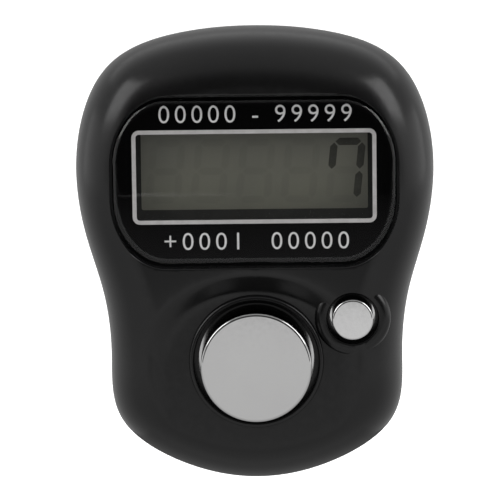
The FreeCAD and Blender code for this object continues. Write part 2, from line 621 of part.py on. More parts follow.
def pieces():
    """Every node's name and shape."""
    made = {
        "front_shell": front_shell(),
        "rear_shell": rear_shell(),
        "display_lens": display_lens(),
        "lens_mask": lens_mask(),
        "lens_tape": lens_tape(),
        "lcd_foam_gasket": lcd_foam_gasket(),
        "lcd_holder": lcd_holder(),
        "zebra_strip": zebra_strip(),
        "circuit_board": circuit_board(),
        "chip_blob": chip_blob(),
        "chip_capacitors": chip_capacitors(),
        "count_contact_pads": contact_pads(0, COUNT_Z, COUNT_PAD_RADIUS),
        "reset_contact_pads": contact_pads(RESET_X, RESET_Z, RESET_PAD_RADIUS),
        "keypad_mat": keypad_mat(),
        "count_dome": count_dome(),
        "reset_dome": reset_dome(),
        "count_pill": rod(0, COUNT_Z, COUNT_PILL_RADIUS, COUNT_DOME_ROOF, COUNT_DOME_ROOF + PILL_THICKNESS),
        "reset_pill": rod(RESET_X, RESET_Z, RESET_PILL_RADIUS, RESET_DOME_ROOF,
                          RESET_DOME_ROOF + PILL_THICKNESS),
        "count_button": count_button(),
        "reset_button": reset_button(),
        "button_cell": button_cell(),
        "cell_negative_contact": cell_negative_contact(),
        "cell_positive_contact": cell_positive_contact(),
        "battery_door": battery_door(),
        "door_screw": door_screw(),
        "case_screws": case_screws(),
        "board_screws": board_screws(),
        "finger_strap": finger_strap(),
    }
    made.update(lcd_stack())
    return made


def main():
    os.makedirs("parts", exist_ok=True)
    for name, shape in pieces().items():
        solids = shape.Solids
        sound = shape.isValid() and all(solid.isClosed() for solid in solids)
        state = "ok" if sound else "BROKEN"
        print(f"{name:24s} solids {len(solids)}  volume {shape.Volume:9.2f}  {state}")
        whole = solids[0] if len(solids) == 1 else Part.makeCompound(solids)
        whole.exportStep(f"parts/{name}.step")


main()
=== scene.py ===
"""Looks for the finger-worn tally counter: fine shells, lens, display, plated buttons, strap and studio.

Every size is in millimetres until it reaches a mesh, and is laid out by the counter's three design
measures: x to the reader's right, depth back from the flat front of the case, and height up from the
case's middle.
"""

import logging
import math
from dataclasses import dataclass, field
from enum import Enum
from typing import Protocol

import bmesh
import bpy
import numpy as np
from mathutils import Matrix, Vector


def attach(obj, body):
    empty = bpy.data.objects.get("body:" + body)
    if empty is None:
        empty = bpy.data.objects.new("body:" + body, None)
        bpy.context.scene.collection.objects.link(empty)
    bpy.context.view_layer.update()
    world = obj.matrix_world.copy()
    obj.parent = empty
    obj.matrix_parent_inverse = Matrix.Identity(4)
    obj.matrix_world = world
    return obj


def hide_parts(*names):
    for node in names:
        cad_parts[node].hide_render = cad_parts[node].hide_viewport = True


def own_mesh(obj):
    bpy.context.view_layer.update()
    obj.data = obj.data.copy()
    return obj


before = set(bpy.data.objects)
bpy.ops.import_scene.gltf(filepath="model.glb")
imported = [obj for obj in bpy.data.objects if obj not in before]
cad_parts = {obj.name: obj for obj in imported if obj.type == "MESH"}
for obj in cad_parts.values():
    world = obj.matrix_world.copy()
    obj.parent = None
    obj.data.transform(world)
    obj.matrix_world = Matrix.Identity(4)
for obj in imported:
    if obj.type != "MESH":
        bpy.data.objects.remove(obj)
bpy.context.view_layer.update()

LOG = logging.getLogger("tally_counter")

Colour = tuple[float, float, float]
Pair = tuple[float, float]
Profile = list[Pair]

MM = 0.001
RING_DEPTH = 22.9  # depth of the finger's axis, where the frame's origin is
STRAP_HEIGHT = -5.2  # height of the strap's middle, at the same origin
PAD_BACK = 2.2  # back of the front shell's thick pads round the buttons
COUNT_CENTRE, RESET_CENTRE = (0.0, -8.5), (8.1, -4.84)
WINDOW_CENTRE = (0.0, 7.27)


def place(x: float, depth: float, height: float) -> Vector:
    """A point given by the design measures in millimetres, in the frame's metres."""
    return Vector((x, depth - RING_DEPTH, height - STRAP_HEIGHT)) * MM


class Body(Enum):
    """The rigid bodies that new pieces ride on."""

    CASE = "case"
    COUNT = "count_key"
    RESET = "reset_key"


# ---------------------------------------------------------------- mesh making


def linked(name: str, data: bpy.types.ID) -> bpy.types.Object:
    """A new object that holds some data, linked into the scene."""
    made = bpy.data.objects.new(name, data)
    bpy.context.scene.collection.objects.link(made)
    return made


def evaluated_mesh(source: bpy.types.Object) -> bpy.types.Mesh:
    """A mesh copy of an object as its modifiers and curve settings leave it."""
    bpy.context.view_layer.update()
    ready = source.evaluated_get(bpy.context.evaluated_depsgraph_get())
    return bpy.data.meshes.new_from_object(ready)


def new_piece(name: str, points: list[Vector], faces: list[list[int]]) -> bpy.types.Object:
    """A mesh object from points in metres.

    Args:
        name: the piece's name.
        points: its corners.
        faces: the corner numbers of each face.

    Returns:
        The new object, linked into the scene, with its faces turned outwards.
    """
    mesh = bpy.data.meshes.new(name)
    mesh.from_pydata([tuple(point) for point in points], [], faces)
    mesh.validate()
    shape = bmesh.new()
    shape.from_mesh(mesh)
    bmesh.ops.recalc_face_normals(shape, faces=shape.faces)
    shape.to_mesh(mesh)
    shape.free()
    return linked(name, mesh)


def smooth(piece: bpy.types.Object, crease_degrees: float) -> bpy.types.Object:
    """Shades a piece smooth, except across sharp edges.

    Args:
        piece: the piece.
        crease_degrees: the angle between faces from which an edge stays sharp.

    Returns:
        The same piece.
    """
    for face in piece.data.polygons:
        face.use_smooth = True
    piece.data.set_sharp_from_angle(angle=math.radians(crease_degrees))
    return piece


def closed_spline(poles: np.ndarray, samples: int) -> np.ndarray:
    """Points along the closed uniform cubic spline of some control points.

    Args:
        poles: control points, one row each.
        samples: how many points to give.

    Returns:
        An array of points, one row each.
    """
    count = len(poles)
    along = np.arange(samples) * count / samples
    span = np.floor(along).astype(int)
    f = (along - span)[:, None]
    weights = [(1 - f) ** 3 / 6, (3 * f**3 - 6 * f**2 + 4) / 6,
               (-3 * f**3 + 3 * f**2 + 3 * f + 1) / 6, f**3 / 6]
    return sum(w * poles[(span + k - 1) % count] for k, w in enumerate(weights))


def soft_greater(first: np.ndarray, second: float, softness: float, sign: int = 1) -> np.ndarray:
    """The greater of two values, or the lesser with sign -1, with a rounded change between them."""
    return (first + second + sign * np.sqrt((first - second) ** 2 + softness**2)) / 2


def outward(loop: np.ndarray) -> np.ndarray:
    """Unit normals of a closed clockwise loop of (x, height) points, pointing out of it."""
    along = np.roll(loop, -1, axis=0) - np.roll(loop, 1, axis=0)
    along /= np.linalg.norm(along, axis=1)[:, None]
    return np.column_stack((-along[:, 1], along[:, 0]))


def circle_loop(radius: float, samples: int = 96) -> np.ndarray:
    """A clockwise circle of (x, height) points about the origin."""
    turn = np.linspace(0, 2 * math.pi, samples, endpoint=False)
    return radius * np.column_stack((np.sin(turn), np.cos(turn)))


def rounded_loop(width: float, height: float, corner_x: float, corner_z: float, samples: int = 24,
                 bow: float = 0.0) -> np.ndarray:
    """A clockwise rounded rectangle with elliptical corners.

    Args:
        width: full width.
        height: full height.
        corner_x: how far each corner reaches along the width.
        corner_z: how far each corner reaches along the height.
        samples: points in each corner.
        bow: how far the two ends bulge at their middle.

    Returns:
        An array of (x, height) points about the origin.
    """
    turns = np.linspace(0, math.pi / 2, samples)
    x = width / 2 - corner_x + corner_x * np.sin(turns)
    z = height / 2 - corner_z + corner_z * np.cos(turns)
    x = x + bow * (1 - (2 * z / height) ** 2) * (2 * x / width) ** 4
    quarter = np.column_stack((x, z))
    back = quarter[::-1]
    return np.vstack((quarter, back * (1, -1), quarter * (-1, -1), back * (-1, 1)))


def level_ring(loop: np.ndarray, depth: float) -> list[Vector]:
    """A loop of (x, height) points laid at one depth, in the frame's metres."""
    return [place(x, depth, z) for x, z in loop]


def loft(name: str, loop: np.ndarray, centre: Pair, profile: Profile) -> bpy.types.Object:
    """A closed solid whose sections all follow one loop, moved in or out by the profile.

    Args:
        name: the piece's name.
        loop: the clockwise base loop about the origin, in (x, height).
        centre: where the loop's origin stands, in (x, height).
        profile: (growth, depth) pairs from the front end to the back end.

    Returns:
        The new object.
    """
    normals = outward(loop)
    rings = [level_ring(loop + normals * growth + centre, depth) for growth, depth in profile]
    return ring_solid(name, rings)


def ring_solid(name: str, rings: list[list[Vector]]) -> bpy.types.Object:
    """A closed solid through successive rings, capped at both ends.

    Args:
        name: the piece's name.
        rings: the rings in order, all with the same number of points.

    Returns:
        The new object.
    """
    count = len(rings[0])
    points = [point for ring in rings for point in ring]
    faces = [list(range(count))[::-1]]
    for row in range(len(rings) - 1):
        for i in range(count):
            j = (i + 1) % count
            faces.append([row * count + i, row * count + j, (row + 1) * count + j, (row + 1) * count + i])
    faces.append([(len(rings) - 1) * count + i for i in range(count)])
    return new_piece(name, points, faces)


def turned(name: str, centre: Pair, profile: Profile, samples: int = 128) -> bpy.types.Object:
    """A solid turned about an axis along the depth.

    Args:
        name: the piece's name.
        centre: the axis's place in (x, height).
        profile: (radius, depth) pairs, none on the axis.
        samples: points round the circle.

    Returns:
        The new object.
    """
    unit = circle_loop(1.0, samples)
    return ring_solid(name, [level_ring(radius * unit + centre, depth) for radius, depth in profile])


def rounded_edge(radius: float, outer: float, flat: float, steps: int = 7, inward: bool = False) -> Profile:
    """Profile points of a quarter-round edge from a flat face onto an outer wall.

    Args:
        radius: the rounding's radius.
        outer: the wall's place along the profile's first measure.
        flat: the flat face's depth.
        steps: points on the quarter.
        inward: True for the flared mouth of a hole instead of the rim of a solid.

    Returns:
        (first measure, depth) pairs, from the flat face to the wall.
    """
    side = 1 if inward else -1
    turns = [math.pi / 2 * k / steps for k in range(steps + 1)]
    return [(outer + side * radius * (1 - math.sin(turn)), flat + radius * (1 - math.cos(turn)))
            for turn in turns]


class Cut(Enum):
    """What a tool solid does to a piece."""

    ADD = "UNION"
    TAKE = "DIFFERENCE"


def carve(piece: bpy.types.Object, cut: Cut, *tools: bpy.types.Object) -> bpy.types.Object:
    """Adds tool solids to a piece or takes them away, and removes the tools.

    Args:
        piece: the solid to change.
        cut: what the tools do to it.
        tools: the tool solids, in order.

    Returns:
        The same object with its new mesh.
    """
    for tool in tools:
        step = piece.modifiers.new("carve", "BOOLEAN")
        step.operation = cut.value
        step.solver = "MANIFOLD"
        step.object = tool
    mesh = evaluated_mesh(piece)
    piece.modifiers.clear()
    piece.data = mesh
    for tool in tools:
        bpy.data.objects.remove(tool)
    return piece


@dataclass
class Edge:
    """One edge of a film: a loop, where its origin stands, and how far it is grown."""

    loop: np.ndarray
    centre: Pair
    growth: float = 0.0


def film(name: str, outer: Edge, opening: Edge, front: float, thickness: float) -> bpy.types.Object:
    """A thin flat film with an opening in it.

    Args:
        name: the piece's name.
        outer: the film's outer edge.
        opening: the edge of its opening.
        front: the depth of its front.
        thickness: its thickness.

    Returns:
        The new object.
    """
    back, spare = front + thickness, 0.1
    sheet = loft(name, outer.loop, outer.centre, [(outer.growth, front), (outer.growth, back)])
    hole = loft("hole", opening.loop, opening.centre,
                [(opening.growth, front - spare), (opening.growth, back + spare)])
    return carve(sheet, Cut.TAKE, hole)


# ---------------------------------------------------------------- finishes

MIX_FIRST, MIX_SECOND, MIX_RESULT = 6, 7, 2  # the colour sockets of a Mix node


class Nodes:
    """A short way to build one material's node tree."""

    def __init__(self, name: str) -> None:
        """Starts an empty tree with an output."""
        self.material = bpy.data.materials.new(name)
        self.material.use_nodes = True
        self.tree = self.material.node_tree
        self.tree.nodes.clear()
        self.output = self.tree.nodes.new("ShaderNodeOutputMaterial")
        self.place = self.tree.nodes.new("ShaderNodeTexCoord")

    def add(self, kind: str, **settings: object) -> bpy.types.Node:
        """Adds a node.

        Args:
            kind: the node's type.
            settings: its properties by name, and "inputs", a dict of values or sockets by input.

        Returns:
            The new node.
        """
        node = self.tree.nodes.new(kind)
        inputs = settings.pop("inputs", {})
        for key, value in settings.items():
            setattr(node, key, value)
        for key, value in inputs.items():
            if isinstance(value, bpy.types.NodeSocket):
                self.tree.links.new(value, node.inputs[key])
            else:
                node.inputs[key].default_value = value
        return node

    def noise(self, size_mm: float, detail: float = 3.0,
              stretch: Colour = (1, 1, 1)) -> bpy.types.NodeSocket:
        """Cloudy noise in the object's own space.

        Args:
            size_mm: the clouds' rough size.
            detail: how many finer layers it has.
            stretch: how much finer it is along X, Y and Z.

        Returns:
            The noise's socket, from 0 to 1.
        """
        mapping = self.add("ShaderNodeMapping", inputs={
            "Vector": self.place.outputs["Object"], "Scale": stretch})
        node = self.add("ShaderNodeTexNoise", inputs={
            "Vector": mapping.outputs["Vector"], "Scale": 1 / (size_mm * MM), "Detail": detail,
            "Roughness": 0.55})
        return node.outputs["Fac"]

    def spread(self, value: bpy.types.NodeSocket, low: float, high: float) -> bpy.types.NodeSocket:
        """Spreads the middle of a 0 to 1 value between two numbers."""
        node = self.add("ShaderNodeMapRange", inputs={
            "Value": value, "From Min": 0.3, "From Max": 0.7, "To Min": low, "To Max": high})
        return node.outputs["Result"]

    def between(self, share: bpy.types.NodeSocket, first: Colour, second: Colour) -> bpy.types.NodeSocket:
        """A colour between two others."""
        node = self.add("ShaderNodeMix", data_type="RGBA", inputs={
            "Factor": share, MIX_FIRST: (*first, 1), MIX_SECOND: (*second, 1)})
        return node.outputs[MIX_RESULT]

    def along(self, axis: str, start: float, end: float, low: float = 0.0,
              high: float = 1.0) -> bpy.types.NodeSocket:
        """A value that changes evenly along one of the object's own axes.

        Args:
            axis: X, Y or Z.
            start: where the change starts, in metres.
            end: where it ends.
            low: the value at the start.
            high: the value at the end.

        Returns:
            The value's socket.
        """
        parts = self.add("ShaderNodeSeparateXYZ", inputs={"Vector": self.place.outputs["Object"]})
        node = self.add("ShaderNodeMapRange", inputs={
            "Value": parts.outputs[axis], "From Min": start, "From Max": end,
            "To Min": low, "To Max": high})
        return node.outputs["Result"]

    def bump(self, height: bpy.types.NodeSocket, height_mm: float) -> bpy.types.NodeSocket:
        """A relief of a real height."""
        node = self.add("ShaderNodeBump", inputs={
            "Height": height, "Distance": height_mm * MM, "Strength": 1.0})
        return node.outputs["Normal"]

    def finish(self, shader: bpy.types.NodeSocket) -> bpy.types.Material:
        """Joins the last shader to the output and gives the material."""
        self.tree.links.new(shader, self.output.inputs["Surface"])
        return self.material


class Dressing(Protocol):
    """Anything with a name that can shade a piece."""

    name: str

    def shade(self, nodes: Nodes) -> bpy.types.NodeSocket:
        """Builds the finish's nodes.

        Args:
            nodes: the material's empty node tree.

        Returns:
            The last shader's socket.
        """


@dataclass(frozen=True)
class Finish:
    """A solid finish: colour that drifts between two tones, roughness that drifts, and a fine relief."""

    name: str
    colour: Colour
    drift: Colour
    drift_mm: float = 6.0
    gloss: Pair = (0.3, 0.4)
    grain_mm: float = 0.4
    grain_height_mm: float = 0.001
    metallic: float = 0.0
    reflect: float = 0.5
    brushed: Colour = (1.0, 1.0, 1.0)

    def shade(self, nodes: Nodes) -> bpy.types.NodeSocket:
        """Builds the finish's nodes.

        Args:
            nodes: the material's empty node tree.

        Returns:
            The last shader's socket.
        """
        patches = nodes.spread(nodes.noise(self.drift_mm), 0, 1)
        grain = nodes.noise(self.grain_mm, 2.0, self.brushed)
        shader = nodes.add("ShaderNodeBsdfPrincipled", inputs={
            "Base Color": nodes.between(patches, self.colour, self.drift),
            "Roughness": nodes.spread(grain, *self.gloss),
            "Normal": nodes.bump(grain, self.grain_height_mm),
            "Metallic": self.metallic, "Specular IOR Level": self.reflect})
        return shader.outputs["BSDF"]


@dataclass(frozen=True)
class ClearAcrylic:
    """Clear cast acrylic or glass that lets lamps through to what lies behind it."""

    name: str
    tint: Colour
    bend: float = 1.49

    def shade(self, nodes: Nodes) -> bpy.types.NodeSocket:
        """Builds the finish's nodes.

        Args:
            nodes: the material's empty node tree.

        Returns:
            The last shader's socket.
        """
        smear = nodes.noise(9.0, 4.0)
        glass = nodes.add("ShaderNodeBsdfPrincipled", inputs={
            "Base Color": (*self.tint, 1), "Transmission Weight": 1.0, "IOR": self.bend,
            "Roughness": nodes.spread(smear, 0.0, 0.025)})
        clear = nodes.add("ShaderNodeBsdfTransparent", inputs={"Color": (*self.tint, 1)})
        path = nodes.add("ShaderNodeLightPath")
        both = nodes.add("ShaderNodeMath", operation="MAXIMUM", inputs={
            0: path.outputs["Is Shadow Ray"], 1: path.outputs["Is Diffuse Ray"]})
        mix = nodes.add("ShaderNodeMixShader", inputs={
            0: both.outputs[0], 1: glass.outputs["BSDF"], 2: clear.outputs["BSDF"]})
        return mix.outputs[0]


BLACK_SHELL = Finish("gloss_black_shell", (0.0045, 0.0045, 0.0047), (0.0062, 0.0061, 0.0062),
                     7.0, (0.2, 0.26), 0.55, 0.0006)
BRIGHT_PLATE = Finish("bright_plate", (0.66, 0.655, 0.655), (0.68, 0.68, 0.675), 5.0, (0.045, 0.075),
                      0.35, 0.00012, 1.0)
# a darker copy of the plating for the caps' side walls: painted shade that dims their reflections
SHADED_WALL_PLATE = Finish("painted_shade_wall_plate", (0.13, 0.13, 0.13), (0.16, 0.16, 0.16), 3.0, (0.08, 0.14),
                    0.35, 0.0002, 1.0)
# a lighter copy of the same plating for the reset cap: painted light for its brighter reflection
RESET_LIT_PLATE = Finish("reset_painted_light_plate", (0.80, 0.795, 0.795), (0.82, 0.82, 0.815), 3.0, (0.045, 0.075),
                        0.35, 0.00012, 1.0)
MASK_INK = Finish("mask_ink", (0.0012, 0.0012, 0.0013), (0.0018, 0.0018, 0.0019), 4.0, (0.5, 0.6), 0.15,
                  0.0004, reflect=0.0)
SILVER_INK = Finish("silver_ink", (0.86, 0.85, 0.84), (0.74, 0.73, 0.72), 0.8, (0.4, 0.55), 0.08, 0.0006)
LINE_INK = Finish("line_ink", (0.64, 0.62, 0.61), (0.54, 0.52, 0.51), 0.8, (0.4, 0.55), 0.08, 0.0006)
# a dark ring laid round the display's face: painted shade from the mask's edge
PANEL_EDGE_SHADE = Finish("painted_shade_ring", (0.020, 0.020, 0.018), (0.028, 0.028, 0.025), 1.5, (0.35, 0.5),
                    0.1, 0.0004, reflect=0.15)
SEGMENT_DARK = Finish("segment_dark", (0.050, 0.050, 0.041), (0.070, 0.068, 0.056), 0.6, (0.3, 0.4),
                      0.1, 0.0002, reflect=0.15)
LENS_CLEAR = ClearAcrylic("lens_clear", (0.97, 0.975, 0.98))
GLASS_CLEAR = ClearAcrylic("display_glass", (0.9, 0.95, 0.93), 1.52)
FOAM_WHITE = Finish("foam_tape", (0.55, 0.55, 0.53), (0.48, 0.48, 0.46), 1.0, (0.7, 0.85), 0.12, 0.02)
FOAM_BLACK = Finish("foam_gasket", (0.02, 0.02, 0.02), (0.03, 0.03, 0.03), 1.0, (0.75, 0.9), 0.1, 0.02)
HOLDER_GREY = Finish("holder_moulding", (0.5, 0.5, 0.48), (0.45, 0.45, 0.43), 5.0, (0.4, 0.5), 0.3, 0.002)
ZEBRA = Finish("zebra_rubber", (0.30, 0.30, 0.32), (0.05, 0.05, 0.05), 0.12, (0.5, 0.65), 0.1, 0.002)
SEALANT = Finish("cured_sealant", (0.4, 0.38, 0.3), (0.33, 0.31, 0.25), 1.0, (0.3, 0.45), 0.2, 0.004)
REFLECTOR = Finish("grey_reflector", (0.16, 0.16, 0.13), (0.14, 0.14, 0.115), 3.0, (0.45, 0.55),
                   0.06, 0.0008)
LAMINATE = Finish("green_laminate", (0.012, 0.085, 0.035), (0.018, 0.11, 0.045), 2.5, (0.3, 0.42),
                  0.3, 0.003)
EPOXY = Finish("chip_epoxy", (0.008, 0.008, 0.008), (0.014, 0.013, 0.012), 1.5, (0.12, 0.25), 0.6, 0.01)
CERAMIC = Finish("capacitor_ceramic", (0.23, 0.13, 0.06), (0.28, 0.17, 0.09), 0.7, (0.4, 0.5), 0.1, 0.002)
GOLD = Finish("gold_flash", (0.83, 0.58, 0.22), (0.74, 0.5, 0.18), 1.0, (0.2, 0.3), 0.1, 0.0006, 1.0)
SILICONE = Finish("keypad_silicone", (0.22, 0.22, 0.23), (0.19, 0.19, 0.2), 2.0, (0.42, 0.55), 0.2, 0.003)
CARBON = Finish("carbon_pill", (0.012, 0.012, 0.012), (0.02, 0.02, 0.02), 0.6, (0.6, 0.75), 0.1, 0.003)
CELL_STEEL = Finish("cell_can", (0.62, 0.62, 0.62), (0.54, 0.54, 0.55), 4.0, (0.22, 0.36),
                    0.25, 0.0015, 1.0)
SPRING_STEEL = Finish("contact_steel", (0.6, 0.58, 0.53), (0.52, 0.5, 0.46), 1.5, (0.22, 0.34), 0.15, 0.001,
                      1.0, brushed=(1, 1, 12))
SCREW_STEEL = Finish("screw_steel", (0.42, 0.42, 0.43), (0.33, 0.33, 0.34), 0.7, (0.25, 0.4),
                     0.12, 0.0015, 1.0)
STRAP_RUBBER = Finish("strap_rubber", (0.010, 0.010, 0.0105), (0.016, 0.016, 0.016), 3.0, (0.42, 0.55),
                      0.16, 0.004)
REAR_BLACK = Finish("rear_black_shell", (0.0070, 0.0070, 0.0072), (0.0100, 0.0100, 0.0100),
                    6.0, (0.3, 0.4), 0.12, 0.006)
DOOR_BLACK = Finish("door_black", (0.0120, 0.0120, 0.0122), (0.0160, 0.0160, 0.0160),
                    4.0, (0.42, 0.5), 0.1, 0.010)


def material_of(finish: Dressing) -> bpy.types.Material:
    """A finish's material, built the first time that it is asked for.

    Args:
        finish: the finish.

    Returns:
        Its material.
    """
    name = f"fine_{finish.name}"
    known = bpy.data.materials.get(name)
    if known:
        return known
    nodes = Nodes(name)
    return nodes.finish(finish.shade(nodes))


def dress(piece: bpy.types.Object, finish: Dressing) -> bpy.types.Object:
    """Puts one finish on the whole of a piece."""
    piece.data.materials.clear()
    piece.data.materials.append(material_of(finish))
    return piece


def fit(piece: bpy.types.Object, body: Body, slot: str, *nodes: str) -> None:
    """Puts a piece on its body and reports it.

    Args:
        piece: the piece.
        body: the body that it rides on.
        slot: the record's slot that its finish belongs to; not used.
        nodes: the CAD nodes that it stands for, if any.
    """
    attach(piece, body.value)
    if nodes:
        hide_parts(*nodes)
    LOG.info("%s rides on %s, %d faces", piece.name, body.value, len(piece.data.polygons))


# ---------------------------------------------------------------- the case


@dataclass
class CaseForm:
    """The pebble shape that both shells share."""

    half_outline: Profile = field(default_factory=lambda: [
        (0.0, 19.2), (5.0, 18.95), (11.2, 17.5), (14.2, 13.7), (15.45, 7.7), (14.6, 1.6),
        (12.8, -3.2), (12.2, -8.8), (12.75, -14.75), (6.5, -18.7), (0.0, -20.1)])
    width: float = 30.2
    height: float = 38.8
    fullness: float = 0.6
    side_fullness: float = 0.5
    toe_fall: float = 0.7
    waist_fall: float = 0.35
    around: int = 440

    def outline(self) -> np.ndarray:
        """Control points of the whole outline, clockwise from the crown."""
        mirrored = [(-x, z) for x, z in self.half_outline[-2:0:-1]]
        return np.array(self.half_outline + mirrored)

    @staticmethod
    def inset(outline: np.ndarray, distance: float) -> np.ndarray:
        """Control points of the curve that runs a distance inside an outline.

        Args:
            outline: the outline's control points.
            distance: how far inside.

        Returns:
            The control points, one row each.
        """
        inward = -outward(outline)
        moves = inward.copy()
        for _ in range(12):
            eased = (np.roll(moves, 1, axis=0) + 4 * moves + np.roll(moves, -1, axis=0)) / 6
            moves = moves + inward - eased
        return outline + distance * moves

    def shrunk(self, outline: np.ndarray, distance: float) -> np.ndarray:
        """An outline drawn in, part as an offset and part as a scaling.

        Args:
            outline: the outline's control points.
            distance: how far it is drawn in at its sides; it is more at the toe and waist.

        Returns:
            The control points, one row each.
        """
        rest = distance * (1 - self.side_fullness)
        scale = np.array([1 - 2 * rest / self.width, 1 - 2 * rest / self.height])
        drawn = self.inset(outline, distance * self.side_fullness)
        lift = distance * self.toe_fall * np.maximum(0.0, -2 * drawn[:, 1] / self.height) ** 2
        low = np.clip((4 - drawn[:, 1]) / 14, 0.0, 1.0)
        narrowing = distance * self.waist_fall * low**2 * (3 - 2 * low) * 2 * drawn[:, 0] / self.width
        return drawn * scale + np.column_stack((-narrowing, lift))

    def sections(self, outline: np.ndarray, rounding: float, flat: float, rim: float,
                 rows: int) -> list[tuple[np.ndarray, float]]:
        """Sections of the rounded side, from its flat to its rim.

        Args:
            outline: control points of the full outline.
            rounding: how far the side rounds in from the outline.
            flat: the flat's depth.
            rim: the rim's depth.
            rows: how many steps to divide the side into.

        Returns:
            (loop, depth) pairs.
        """
        slack = 1 - self.fullness
        span = rim - flat
        stations = [(rounding, flat), (rounding * slack, flat), (0.0, flat + span * slack), (0.0, rim)]
        poles = [self.shrunk(outline, draw_in) for draw_in, _ in stations]
        found = []
        for row in range(rows + 1):
            v = row / rows
            weights = [(1 - v) ** 3, 3 * v * (1 - v) ** 2, 3 * v * v * (1 - v), v**3]
            mixed = sum(w * p for w, p in zip(weights, poles))
            depth = sum(w * s[1] for w, s in zip(weights, stations))
            found.append((closed_spline(mixed, self.around), depth))
        return found

    def pebble(self, name: str, distance: float, rounding: float, flat: float, rim: float,
               rows: int) -> bpy.types.Object:
        """A closed solid with a flat at one depth that rounds out to its rim.

        Args:
            name: the piece's name.
            distance: how far inside the case's outline it stands.
            rounding: how far its side rounds in.
            flat: the flat's depth.
            rim: the rim's depth.
            rows: how many steps to divide its side into.

        Returns:
            The new object.
        """
        sections = self.sections(self.inset(self.outline(), distance), rounding, flat, rim, rows)
        return ring_solid(name, [level_ring(loop, depth) for loop, depth in sections])

    def prism(self, name: str, distance: float, front: float, back: float) -> bpy.types.Object:
        """A straight-sided solid on the outline, a distance inside it."""
        loop = closed_spline(self.inset(self.outline(), distance), self.around)
        return ring_solid(name, [level_ring(loop, depth) for depth in (front, back)])


@dataclass
class LensForm:
    """The display lens's outline, shared by the lens and its seat."""

    width: float = 23.6
    height: float = 14.1
    corner_x: float = 4.5
    corner_z: float = 5.6
    bow: float = 0.06
    centre: Pair = (0.0, 6.9)
    thickness: float = 1.06
    gap: float = 0.22

    def loop(self) -> np.ndarray:
        """The lens's outline."""
        return rounded_loop(self.width, self.height, self.corner_x, self.corner_z, 26, self.bow)


